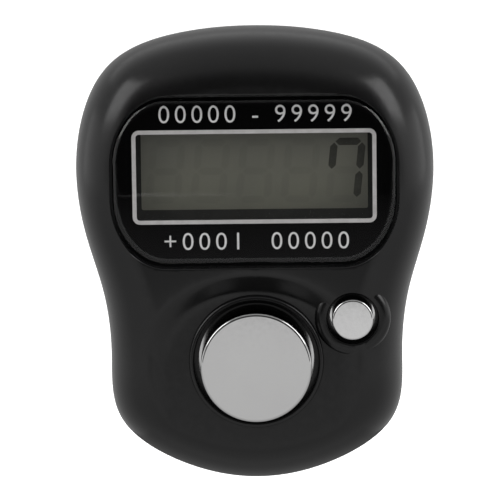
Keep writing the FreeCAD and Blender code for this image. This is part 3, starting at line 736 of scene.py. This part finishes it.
@dataclass
class CaseFront:
    """The front shell, with its hollow, collar, boss and seats."""

    form: CaseForm
    lens: LensForm
    rounding: float = 4.6
    seam: float = 6.4
    wall: float = 1.2
    rebate_inset: float = 0.6
    rebate_front: float = 5.4
    hollow_centre: Pair = (-0.2, -8.05)
    hollow_reach: Pair = (9.2, 7.1)
    hollow_depth: float = 0.8
    hollow_slope: float = math.tan(math.radians(29.0))
    floor_softness: float = 0.14
    rim_softness: float = 0.11
    flat_rings: int = 110
    collar_radius: float = 5.66
    collar_top: float = 0.38
    boss_radius: float = 3.2
    boss_top: float = 0.28
    lens_seat: float = 1.3

    def hollow(self, x: np.ndarray, z: np.ndarray) -> np.ndarray:
        """The depth of the hollow's own surface: a flat floor that runs out at the toe.

        Args:
            x: places across the case.
            z: heights of the same points.

        Returns:
            The depth at each point.
        """
        across = (x - self.hollow_centre[0]) / self.hollow_reach[0]
        up = np.maximum(0.0, (z - self.hollow_centre[1]) / self.hollow_reach[1])
        rim = (1 - np.hypot(across, up)) * self.hollow_reach[1] * self.hollow_slope
        return soft_greater(rim, self.hollow_depth, self.floor_softness, -1)

    def skin(self) -> bpy.types.Object:
        """The outer surface as a closed solid, with the hollow sunk into it."""
        outline = self.form.outline()
        sections = self.form.sections(outline, self.rounding, 0.0, self.seam, 56)
        first = sections[0][0]
        middle = np.array([0.0, -1.0])
        flats = [(middle + (first - middle) * k / self.flat_rings, 0.0) for k in range(1, self.flat_rings)]
        rings = []
        for loop, depth in flats + sections:
            floor = self.hollow(loop[:, 0], loop[:, 1])
            sunk = soft_greater(floor, depth, self.rim_softness)
            rings.append([place(x, down, z) for (x, z), down in zip(loop, sunk)])
        return ring_solid("front_shell_fine", rings)

    def build(self) -> None:
        """Makes the shell."""
        shell = self.skin()
        beyond = self.seam + 0.1
        inner = self.form.pebble("inner", self.wall, self.rounding - 0.8, self.wall + 0.1, beyond, 24)
        rebate = self.form.prism("rebate", self.rebate_inset, self.rebate_front, beyond)
        carve(shell, Cut.TAKE, inner, rebate)
        carve(shell, Cut.ADD, *self.raised())
        carve(shell, Cut.TAKE, *self.lens_opening(),
              self.button_hole("count_hole", COUNT_CENTRE, (5.23, 4.85), self.collar_top, 0.14, 1.5),
              self.button_hole("reset_hole", RESET_CENTRE, (2.13, 1.9), self.boss_top, 0.16, 1.4))
        dress(smooth(shell, 30), BLACK_SHELL)
        fit(shell, Body.CASE, "shell_plastic", "front_shell")

    def raised(self) -> list[bpy.types.Object]:
        """The thick pads behind the face, the reset boss and the collar, to be added."""
        boss = [(2.5, self.boss_top)] + rounded_edge(0.66, self.boss_radius, self.boss_top, 12)
        collar = rounded_edge(0.24, self.collar_radius, self.collar_top, 8)
        return [
            loft("lens_pad", self.lens.loop(), self.lens.centre, [(0.9, 0.9), (0.9, 2.4)]),
            turned("count_pad", COUNT_CENTRE, [(7.2, 1.0), (7.2, PAD_BACK)]),
            turned("reset_pad", RESET_CENTRE, [(3.0, 1.9), (3.0, PAD_BACK)]),
            turned("reset_boss", RESET_CENTRE, boss + [(self.boss_radius, PAD_BACK - 0.1)]),
            turned("collar", COUNT_CENTRE, collar + [(self.collar_radius, PAD_BACK - 0.1)])]

    def lens_opening(self) -> list[bpy.types.Object]:
        """The lens's seat with its rounded mouth, and the hole behind it, to be cut."""
        gap = self.lens.gap
        mouth = [(gap + 0.24, -1.0)] + rounded_edge(0.16, gap, 0.0, 6, True)
        return [loft("seat", self.lens.loop(), self.lens.centre, mouth + [(gap, self.lens_seat)]),
                loft("aperture", rounded_loop(20.9, 8.5, 1.0, 1.0, 6), WINDOW_CENTRE, [(0, 1.2), (0, 2.6)])]

    @staticmethod
    def button_hole(name: str, centre: Pair, radii: Pair, top: float,
                    lip: float, step: float) -> bpy.types.Object:
        """A button's hole, to be cut.

        Args:
            name: the tool's name.
            centre: the button's place in (x, height).
            radii: the hole's radius in front and behind, where it guides the button.
            top: the depth of the face that the hole starts in.
            lip: the rounding of its mouth.
            step: the depth at which it narrows.

        Returns:
            The tool solid.
        """
        wide, narrow = radii
        mouth = [(wide + lip, -1.0)] + rounded_edge(lip, wide, top, 6, True)
        return turned(name, centre, mouth + [(wide, step), (narrow, step), (narrow, PAD_BACK + 0.3)])


# ---------------------------------------------------------------- the display


@dataclass
class DisplayWindow:
    """The lens and what is printed behind it."""

    lens: LensForm
    line_size: Pair = (20.35, 7.95)
    line_corner: float = 0.62
    line_width: float = 0.34
    window_size: Pair = (19.7, 7.3)
    window_corner: float = 0.4
    mask_depth: float = 0.98
    mask_thickness: float = 0.05
    mask_margin: float = 0.12
    print_depth: float = 0.945
    print_thickness: float = 0.02
    letter_height: float = 1.45
    bevel: float = 0.55
    bevel_support: float = 0.13
    back_chamfer: float = 0.08

    def build_lens(self) -> None:
        """Makes the clear lens with its polished bevel."""
        back = self.lens.thickness
        profile = [(-self.bevel - self.bevel_support, 0.0)] + rounded_edge(self.bevel, 0.0, 0.0, 10)
        profile += [(0.0, back - self.back_chamfer), (-self.back_chamfer, back)]
        piece = loft("display_lens_fine", self.lens.loop(), self.lens.centre, profile)
        dress(smooth(piece, 35), LENS_CLEAR)
        fit(piece, Body.CASE, "lens_acrylic", "display_lens")

    def build_mask(self) -> None:
        """Makes the black print that leaves only the window clear."""
        window = rounded_loop(*self.window_size, self.window_corner, self.window_corner, 8)
        piece = film("lens_mask_fine", Edge(self.lens.loop(), self.lens.centre, -self.mask_margin),
                     Edge(window, WINDOW_CENTRE), self.mask_depth, self.mask_thickness)
        dress(piece, MASK_INK)
        fit(piece, Body.CASE, "mask_ink", "lens_mask")

    def build_line(self) -> None:
        """Makes the printed line round the window."""
        loop = rounded_loop(*self.line_size, self.line_corner, self.line_corner, 8)
        piece = film("window_line", Edge(loop, WINDOW_CENTRE), Edge(loop, WINDOW_CENTRE, -self.line_width),
                     self.print_depth, self.print_thickness)
        dress(piece, LINE_INK)
        fit(piece, Body.CASE, "mask_ink")

    @staticmethod
    def lettering(text: str, spacing: float) -> tuple[bpy.types.Mesh, np.ndarray, np.ndarray]:
        """A row of figures as a thin mesh one unit high.

        Args:
            text: the figures.
            spacing: the space from one to the next, 1 for the usual.

        Returns:
            The mesh with its lowest and highest corners.
        """
        curve = bpy.data.curves.new("lettering", "FONT")
        curve.body = text
        curve.size = 1.0
        curve.offset = -0.006
        curve.extrude = 0.01
        curve.resolution_u = 6
        curve.space_character = spacing
        source = linked("lettering", curve)
        mesh = evaluated_mesh(source)
        bpy.data.objects.remove(source)
        points = np.array([v.co for v in mesh.vertices])
        return mesh, points.min(axis=0), points.max(axis=0)

    def figures(self, name: str, text: str, left: float, right: float, height: float) -> None:
        """Prints a row of figures between two places.

        Args:
            name: the piece's name.
            text: the figures.
            left: where the row starts.
            right: where it ends.
            height: the row's middle.
        """
        _, low, high = self.lettering(text, 1.0)
        scale = self.letter_height / (high[1] - low[1])
        _, loose_low, loose_high = self.lettering(text, 2.0)
        tight, loose = (high[0] - low[0]) * scale, (loose_high[0] - loose_low[0]) * scale
        mesh, low, high = self.lettering(text, 1.0 + (right - left - tight) / (loose - tight))
        for vertex in mesh.vertices:
            x = left + (vertex.co.x - low[0]) * scale
            z = height + (vertex.co.y - (low[1] + high[1]) / 2) * scale
            back = (high[2] - vertex.co.z) / (high[2] - low[2])
            vertex.co = place(x, self.print_depth + self.print_thickness * back, z)
        piece = linked(name, mesh)
        dress(piece, SILVER_INK)
        fit(piece, Body.CASE, "mask_ink")

    def build(self) -> None:
        """Makes the lens, the printed line and the figures, and dresses the films behind."""
        self.build_lens()
        self.build_mask()
        self.build_line()
        self.figures("figures_top", "00000 - 99999", -7.9, 8.15, 12.57)
        self.figures("figures_bottom", "+0001  00000", -7.55, 7.85, 1.83)
        dress(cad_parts["lens_tape"], FOAM_WHITE)
        dress(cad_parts["lcd_foam_gasket"], FOAM_BLACK)


@dataclass(frozen=True)
class PanelFinish:
    """The display's grey-green face: painted shade towards its foot, with soft clouds and a fine mottle."""

    name: str = "panel_face"
    low: Colour = (0.232, 0.229, 0.186)
    high: Colour = (0.206, 0.205, 0.172)
    # foot and span paint shade: the face is multiplied down to foot at the first height and back to full by
    # the second
    foot: Colour = (0.70, 0.70, 0.67)
    span: Pair = (4.4, 9.5)

    def shade(self, nodes: Nodes) -> bpy.types.NodeSocket:
        """Builds the finish's nodes.

        Args:
            nodes: the material's empty node tree.

        Returns:
            The last shader's socket.
        """
        patches = nodes.spread(nodes.noise(5.0, 2.0), 0, 1)
        grain = nodes.noise(0.07, 2.0)
        # painted shade: the face is darkened towards its foot
        foot, top = [(height - STRAP_HEIGHT) * MM for height in self.span]
        tone = nodes.add("ShaderNodeMix", data_type="RGBA", blend_type="MULTIPLY", inputs={
            "Factor": 1.0, MIX_FIRST: nodes.between(patches, self.low, self.high),
            MIX_SECOND: nodes.between(nodes.along("Z", foot, top), self.foot, (1.0, 1.0, 1.0))})
        shader = nodes.add("ShaderNodeBsdfPrincipled", inputs={
            "Base Color": tone.outputs[MIX_RESULT], "Roughness": nodes.spread(grain, 0.3, 0.4),
            "Normal": nodes.bump(grain, 0.0004), "Specular IOR Level": 0.15})
        return shader.outputs["BSDF"]


# the faint figures carry the same painted shade towards the foot
PANEL_GHOST = PanelFinish("panel_ghost", (0.214, 0.211, 0.172), (0.191, 0.190, 0.160))


@dataclass
class DisplayPanel:
    """The liquid-crystal panel's face and its five figures."""

    face_depth: float = 2.8
    face_sides: Pair = (-10.6, 10.6)
    face_levels: Pair = (3.1, 11.8)
    face_thickness: float = 0.15
    film_lift: float = 0.012
    film_thickness: float = 0.01
    pitch: float = 3.76
    last_centre: float = 7.62
    middle: float = 7.45
    figure_width: float = 2.95
    figure_height: float = 5.45
    stroke: float = 0.62
    gap: float = 0.09
    slant: float = math.radians(6.0)
    figures: int = 5

    def bar(self, start: Pair, end: Pair) -> Profile:
        """A segment with both ends pointed.

        Args:
            start: the place in the figure that it starts from.
            end: the place that it reaches to.

        Returns:
            Its six corners.
        """
        along = np.array(end) - np.array(start)
        along = along / np.linalg.norm(along)
        side = np.array([-along[1], along[0]]) * self.stroke / 2
        first = np.array(start) + along * self.gap
        last = np.array(end) - along * self.gap
        tip = along * self.stroke / 2
        corners = [first, first + tip + side, last - tip + side,
                   last, last - tip - side, first + tip - side]
        return [tuple(corner) for corner in corners]

    def segments(self) -> dict[str, Profile]:
        """Every segment of one figure, by the usual letters."""
        half_w = (self.figure_width - self.stroke) / 2
        half_h = (self.figure_height - self.stroke) / 2
        ends = {
            "a": ((-half_w, half_h), (half_w, half_h)), "b": ((half_w, half_h), (half_w, 0)),
            "c": ((half_w, 0), (half_w, -half_h)), "d": ((-half_w, -half_h), (half_w, -half_h)),
            "e": ((-half_w, 0), (-half_w, -half_h)), "f": ((-half_w, half_h), (-half_w, 0)),
            "g": ((-half_w, 0), (half_w, 0))}
        return {letter: self.bar(*pair) for letter, pair in ends.items()}

    @staticmethod
    def plate(name: str, shapes: list[Profile], front: float, thickness: float) -> bpy.types.Object:
        """Thin solids on some outlines, as one piece.

        Args:
            name: the piece's name.
            shapes: the outlines.
            front: the depth of their fronts.
            thickness: their thickness.

        Returns:
            The new object.
        """
        points: list[Vector] = []
        faces: list[list[int]] = []
        for outline in shapes:
            base, count = len(points), len(outline)
            for depth in (front, front + thickness):
                points += level_ring(outline, depth)
            faces.append([base + i for i in range(count)][::-1])
            faces.append([base + count + i for i in range(count)])
            for i in range(count):
                j = (i + 1) % count
                faces.append([base + i, base + j, base + count + j, base + count + i])
        return new_piece(name, points, faces)

    def at(self, outline: Profile, place_number: int) -> Profile:
        """A segment's outline, slanted and moved to one figure's place, counted from the right."""
        centre = self.last_centre - place_number * self.pitch
        return [(centre + x + z * math.tan(self.slant), self.middle + z) for x, z in outline]

    def build(self) -> None:
        """Makes the face, a dark ring of painted shade round it, the lit figure and faint figures, and
        dresses the panel's other layers.
        """
        left, right = self.face_sides
        low, high = self.face_levels
        face = self.plate("panel_face_fine", [[(left, low), (left, high), (right, high), (right, low)]],
                          self.face_depth, self.face_thickness)
        dress(face, PanelFinish())
        fit(face, Body.CASE, "lcd_film", "lcd_front_polariser")
        front = self.face_depth - self.film_lift
        # a dark ring of painted shade round the face, where the mask's edge shades it
        shade_ring = film("painted_shade_ring", Edge(rounded_loop(21.2, 8.7, 0.2, 0.2, 3), (0.0, 7.45)),
                      Edge(rounded_loop(18.95, 6.6, 0.15, 0.15, 3), (0.0, 7.5)), front, self.film_thickness)
        dress(shade_ring, PANEL_EDGE_SHADE)
        fit(shade_ring, Body.CASE, "lcd_film")
        bars = self.segments()
        lit = [self.at(bars[letter], 0) for letter in "abcf"]
        faint = [self.at(outline, number) for number in range(self.figures)
                 for letter, outline in bars.items() if number or letter not in "abcf"]
        for name, shapes, finish in (("panel_lit_figure", lit, SEGMENT_DARK),
                                     ("panel_faint_figures", faint, PANEL_GHOST)):
            piece = self.plate(name, shapes, front, self.film_thickness)
            dress(piece, finish)
            fit(piece, Body.CASE, "lcd_film")
        layers = {"lcd_front_glass": GLASS_CLEAR, "lcd_rear_glass": GLASS_CLEAR, "lcd_edge_seal": SEALANT,
                  "lcd_reflector": REFLECTOR, "lcd_holder": HOLDER_GREY, "zebra_strip": ZEBRA}
        for node, finish in layers.items():
            dress(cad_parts[node], finish)


# ---------------------------------------------------------------- buttons and keypad


@dataclass
class PressButton:
    """A plated cap with a retaining flange, and the silicone dome that it presses."""

    name: str
    body: Body
    joint: str
    centre: Pair
    radius: float
    face: float
    edge: float
    flange: float
    flange_back: float
    travel: float
    dome: Profile
    plate: Finish
    flange_front: float = 2.25
    stem_end: float = 3.4

    def build(self) -> None:
        """Makes the cap and the dome."""
        rim = self.radius - self.edge
        profile = [(rim * share, self.face) for share in (0.02, 0.4, 0.8, 0.99)]
        profile += rounded_edge(self.edge, self.radius, self.face, 10)
        profile += [(self.radius, self.flange_front), (self.flange, self.flange_front),
                    (self.flange, self.flange_back), (1.3, self.flange_back), (1.0, self.stem_end)]
        cap = turned(f"{self.name}_cap", self.centre, profile, 192)
        dress(smooth(cap, 35), self.plate)
        # the side walls take the darker copy of the plating, painted shade that dims their reflections
        cap.data.materials.append(material_of(SHADED_WALL_PLATE))
        for face in cap.data.polygons:
            face.material_index = int(abs(face.normal.y) < 0.1)
        fit(cap, self.body, "button_chrome", f"{self.name}_button")
        dome = turned(f"{self.name}_dome_fine", self.centre, self.dome, 72)
        dress(smooth(dome, 40), SILICONE)
        fit(dome, Body.CASE, "keypad_silicone", f"{self.name}_dome")
        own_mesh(dome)
        dress(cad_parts[f"{self.name}_pill"], CARBON)
        dress(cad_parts[f"{self.name}_contact_pads"], GOLD)


def press_buttons() -> list[PressButton]:
    """The counter's two buttons."""
    count = PressButton(
        "count", Body.COUNT, "count_press", (0.0, -8.5), 4.64, -1.9, 0.2, 5.9, 3.05, 0.8,
        [(2.1, 3.43), (2.3, 3.48), (2.55, 3.8), (3.74, 5.25), (3.78, 5.45), (3.78, 5.8)], BRIGHT_PLATE)
    # the reset cap wears the lighter copy of the plating, painted light for its brighter reflection
    reset = PressButton(
        "reset", Body.RESET, "reset_press", (8.1, -4.84), 1.73, -0.16, 0.16, 2.3, 2.85, 0.6,
        [(1.15, 3.43), (1.3, 3.48), (1.5, 3.8), (2.24, 5.25), (2.28, 5.45), (2.28, 5.8)], RESET_LIT_PLATE)
    return [count, reset]


# ---------------------------------------------------------------- strap


@dataclass
class FingerStrap:
    """The rubber strap: its ends buttoned behind the case, and its loop round a finger."""

    thickness: float = 1.1
    width: float = 8.5
    edge: float = 0.34
    middle: float = 13.15
    ring: float = 9.55
    bend: float = 2.0
    bend_x: float = 8.7
    end_x: float = 1.6
    peg_x: float = 3.6
    hole: float = 0.95
    punch_reach: float = 1.5
    spare_holes: tuple[float, ...] = (1.6, 4.8, 8.0)

    def lean(self) -> float:
        """The angle at which the straight part meets the ring."""
        rise = RING_DEPTH - self.middle - self.bend
        gap = math.hypot(self.bend_x, rise)
        return math.acos((self.ring - self.bend) / gap) - math.atan2(rise, self.bend_x)

    def path(self) -> np.ndarray:
        """Points of the centreline as (x, depth), from one end to the other."""
        lean = self.lean()
        half = [(x, self.middle) for x in np.linspace(self.end_x, self.bend_x, 8)[:-1]]
        half += [(self.bend_x + self.bend * math.cos(a), self.middle + self.bend * (1 + math.sin(a)))
                 for a in np.linspace(-math.pi / 2, lean, 28)]
        half += [(self.ring * math.cos(a), RING_DEPTH + self.ring * math.sin(a))
                 for a in np.linspace(lean, math.pi / 2, 60)]
        return np.array(half + [(-x, depth) for x, depth in half[-2::-1]])

    def punches(self) -> list[bpy.types.Object]:
        """Round bars where the strap's holes go, for its pegs and to spare."""
        lean = self.lean()
        normal = np.array([math.cos(lean), math.sin(lean)])
        low = np.array([self.bend_x, self.middle + self.bend]) + self.bend * normal
        high = np.array([0.0, RING_DEPTH]) + self.ring * normal
        course = (high - low) / np.linalg.norm(high - low)
        spots = [(np.array([self.peg_x, self.middle]), np.array([0.0, 1.0]))]
        spots += [(low + course * step, normal) for step in self.spare_holes]
        made = []
        for side in (1, -1):
            for spot, axis in spots:
                cross = np.array([-axis[1], axis[0]])
                ends = []
                for end in (spot - axis * self.punch_reach, spot + axis * self.punch_reach):
                    rim = [(*(end + cross * a), b) for a, b in circle_loop(self.hole, 40)]
                    ends.append([place(side * x, depth, STRAP_HEIGHT + b) for x, depth, b in rim])
                made.append(ring_solid("punch", ends))
        return made

    def build(self) -> None:
        """Makes the strap and punches its holes."""
        path = self.path()
        along = np.gradient(path, axis=0)
        along /= np.linalg.norm(along, axis=1)[:, None]
        outs = np.column_stack((along[:, 1], -along[:, 0]))
        section = rounded_loop(self.thickness, self.width, self.edge, self.edge, 7)
        rings = [[place(*(spot + out * lift), STRAP_HEIGHT + z) for lift, z in section]
                 for spot, out in zip(path, outs)]
        strap = ring_solid("finger_strap_fine", rings)
        carve(strap, Cut.TAKE, *self.punches())
        dress(smooth(strap, 40), STRAP_RUBBER)
        fit(strap, Body.CASE, "strap_rubber", "finger_strap")


# ---------------------------------------------------------------- back, power and fasteners


@dataclass
class PlainNodes:
    """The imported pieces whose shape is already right, each with its finish."""

    finishes: dict[str, Finish] = field(default_factory=lambda: {
        "rear_shell": REAR_BLACK, "circuit_board": LAMINATE, "chip_blob": EPOXY, "chip_capacitors": CERAMIC,
        "keypad_mat": SILICONE, "button_cell": CELL_STEEL, "cell_negative_contact": SPRING_STEEL,
        "cell_positive_contact": SPRING_STEEL, "battery_door": DOOR_BLACK, "door_screw": SCREW_STEEL,
        "case_screws": SCREW_STEEL, "board_screws": SCREW_STEEL})

    def build(self) -> None:
        """Dresses each piece."""
        for name, finish in self.finishes.items():
            piece = dress(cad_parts[name], finish)
            LOG.info("%s keeps its packed shape, %d faces", name, len(piece.data.polygons))


# ---------------------------------------------------------------- studio


@dataclass
class Studio:
    """Floor, soft lamps, the cards that the gloss reflects, and the camera."""

    distance: float = 350.0
    azimuth: float = 0.6
    elevation: float = 11.0
    roll: float = 0.7
    aim: tuple[float, float, float] = (-0.42, 0.0, 1.18)
    view_width: float = 41.667
    floor_drop: float = 60.0
    back_card_depth: float = -361.0

    def floor(self) -> None:
        """Lays a wide pale floor below the counter."""
        reach, steps = 2500.0, 12
        marks = np.linspace(-reach, reach, steps + 1)
        points = [place(x, depth, -self.floor_drop) for depth in marks for x in marks]
        faces = []
        for row in range(steps):
            for first in range(row * (steps + 1), row * (steps + 1) + steps):
                faces.append([first, first + 1, first + steps + 2, first + steps + 1])
        piece = new_piece("studio_floor", points, faces)
        nodes = Nodes("floor_paper")
        tone = nodes.between(nodes.spread(nodes.noise(60.0), 0, 1), (0.9, 0.9, 0.9), (0.88, 0.88, 0.88))
        paper = nodes.add("ShaderNodeBsdfDiffuse", inputs={"Color": tone})
        glow = nodes.add("ShaderNodeEmission", inputs={"Color": tone, "Strength": 0.55})
        both = nodes.add("ShaderNodeAddShader", inputs={0: paper.outputs[0], 1: glow.outputs[0]})
        piece.data.materials.append(nodes.finish(both.outputs[0]))
        piece.visible_diffuse = piece.visible_glossy = False

    def card(self, name: str, corners: list[Vector], start: float, end: float, axis: str = "Y") -> None:
        """A card that only reflections see, with a glow that changes evenly along one axis.

        Args:
            name: the card's name.
            corners: its four corners; the glow starts at the first and ends at the third.
            start: the glow at the start.
            end: the glow at the end.
            axis: the world axis along which the glow changes.
        """
        piece = new_piece(name, corners, [[0, 1, 2, 3]])
        nodes = Nodes(name)
        number = "XYZ".index(axis)
        glow = nodes.along(axis, corners[0][number], corners[2][number], start, end)
        shader = nodes.add("ShaderNodeEmission", inputs={"Color": (1, 1, 1, 1), "Strength": glow})
        piece.data.materials.append(nodes.finish(shader.outputs[0]))
        piece.visible_camera = piece.visible_diffuse = piece.visible_shadow = False

    def level_cards(self, level: float) -> None:
        """Lays the flat cards in front of the counter, under its toe and overhead.

        Args:
            level: the height of those at floor level.
        """
        wide, narrow, under, sky = 700.0, 20.0, -32.0, 440.0
        for name, side, height, first, last, start, end in (
                ("near_card", wide, level, 0.0, -190.0, 0.42, 0.62),
                ("bright_card", wide, level, -190.0, -268.0, 0.62, 0.66),
                ("edge_card", wide, level, -268.0, -284.0, 0.66, 0.2),
                ("table_card", wide, level, -284.0, self.back_card_depth, 0.2, 0.04),
                ("toe_card", narrow, under, 4.0, 45.0, 0.36, 0.07),
                ("under_card", narrow, under, 45.0, 300.0, 0.07, 0.03),
                ("sky_card", wide, sky, -370.0, 160.0, 0.30, 0.42),
                ("back_sky_card", wide, sky, 160.0, 700.0, 0.42, 1.0)):
            self.card(name, [place(-side, first, height), place(side, first, height),
                             place(side, last, height), place(-side, last, height)], start, end)

    def cards(self) -> None:
        """Hangs all the cards that the gloss reflects."""
        level = -self.floor_drop + 0.5
        self.level_cards(level)
        for name, x, glow in (("left_card", -320.0, 0.9), ("right_card", 320.0, 1.05)):
            self.card(name, [place(x, -190.0, level), place(x, -190.0, 70.0),
                             place(x, 240.0, 70.0), place(x, 240.0, level)], glow * 0.6, glow)
        far, lean, half = self.back_card_depth, 14.0, 315.0
        for name, foot, top, lean_out, start, end in (("dark_card", level, 150.0, lean, 0.02, 0.05),
                                                      ("fading_card", 150.0, 440.0, 0.0, 0.05, 0.32)):
            self.card(name, [place(-half, far - lean_out, foot), place(half, far + lean_out, foot),
                             place(half, far, top), place(-half, far, top)], start, end, "Z")

    def lamp(self, name: str, spot: Vector, target: Vector, size: Pair, glow: float,
             mirrored: bool = True) -> None:
        """A soft rectangular lamp.

        Args:
            name: the lamp's name.
            spot: where it hangs.
            target: what it faces.
            size: its width and height in millimetres.
            glow: its brightness as seen, 1 for white.
            mirrored: whether reflections see it.
        """
        data = bpy.data.lights.new(name, "AREA")
        data.shape = "RECTANGLE"
        data.size, data.size_y = size[0] * MM, size[1] * MM
        data.energy = glow * math.pi * data.size * data.size_y
        lamp = linked(name, data)
        lamp.location = spot
        lamp.rotation_euler = (target - spot).to_track_quat("-Z", "Y").to_euler()
        lamp.visible_glossy = mirrored

    def lamps(self) -> None:
        """Hangs the soft lamps."""
        middle = place(0, 0, 4)
        self.lamp("top_box", place(0, 60, 620), middle, (900, 900), 1.5, False)
        self.lamp("left_box", place(-420, -160, 330), middle, (320, 500), 2.0)
        self.lamp("right_box", place(420, -160, 330), middle, (320, 500), 2.3)

    @staticmethod
    def air(tree: bpy.types.NodeTree, strength: float) -> bpy.types.NodeSocket:
        """A white surround.

        Args:
            tree: the world's nodes.
            strength: its brightness, 1 for white.

        Returns:
            The surround's shader.
        """
        node = tree.nodes.new("ShaderNodeBackground")
        node.inputs["Color"].default_value = (1, 1, 1, 1)
        node.inputs["Strength"].default_value = strength
        return node.outputs[0]

    def world(self) -> None:
        """A white surround for the eye and a dimmer one for the object."""
        world = bpy.data.worlds.new("studio_air")
        bpy.context.scene.world = world
        world.use_nodes = True
        tree = world.node_tree
        tree.nodes.clear()
        output = tree.nodes.new("ShaderNodeOutputWorld")
        path = tree.nodes.new("ShaderNodeLightPath")
        shader = self.air(tree, 0.38)
        for ray, strength in (("Is Glossy Ray", 0.45), ("Is Camera Ray", 1.05)):
            mix = tree.nodes.new("ShaderNodeMixShader")
            for socket, source in enumerate((path.outputs[ray], shader, self.air(tree, strength))):
                tree.links.new(source, mix.inputs[socket])
            shader = mix.outputs[0]
        tree.links.new(shader, output.inputs[0])

    def camera(self) -> None:
        """Sets the camera up in front of the counter and a little above it."""
        data = bpy.data.cameras.new("camera")
        data.lens = data.sensor_width * self.distance / self.view_width
        data.clip_start = 0.01
        data.clip_end = 20.0
        camera = linked("camera", data)
        azimuth, elevation = math.radians(self.azimuth), math.radians(self.elevation)
        away = Vector((math.sin(azimuth) * math.cos(elevation), -math.cos(azimuth) * math.cos(elevation),
                       math.sin(elevation)))
        target = place(*self.aim)
        turn = (-away).to_track_quat("-Z", "Y").to_matrix().to_4x4()
        roll = Matrix.Rotation(math.radians(-self.roll), 4, "Z")
        camera.matrix_world = Matrix.Translation(target + away * self.distance * MM) @ turn @ roll
        bpy.context.scene.camera = camera

    def build(self) -> None:
        """Sets the whole studio up."""
        self.camera()
        self.floor()
        self.cards()
        self.lamps()
        self.world()
        settings = bpy.context.scene.view_settings
        settings.view_transform = "Standard"
        settings.look = "None"


def main() -> None:
    """Builds the counter's looks piece by piece, then the studio."""
    logging.basicConfig(level=logging.INFO, format="%(message)s")
    Studio().build()
    lens = LensForm()
    form = CaseForm()
    CaseFront(form, lens).build()
    DisplayWindow(lens).build()
    DisplayPanel().build()
    for button in press_buttons():
        button.build()
    FingerStrap().build()
    PlainNodes().build()


if __name__ == "__main__":
    main()
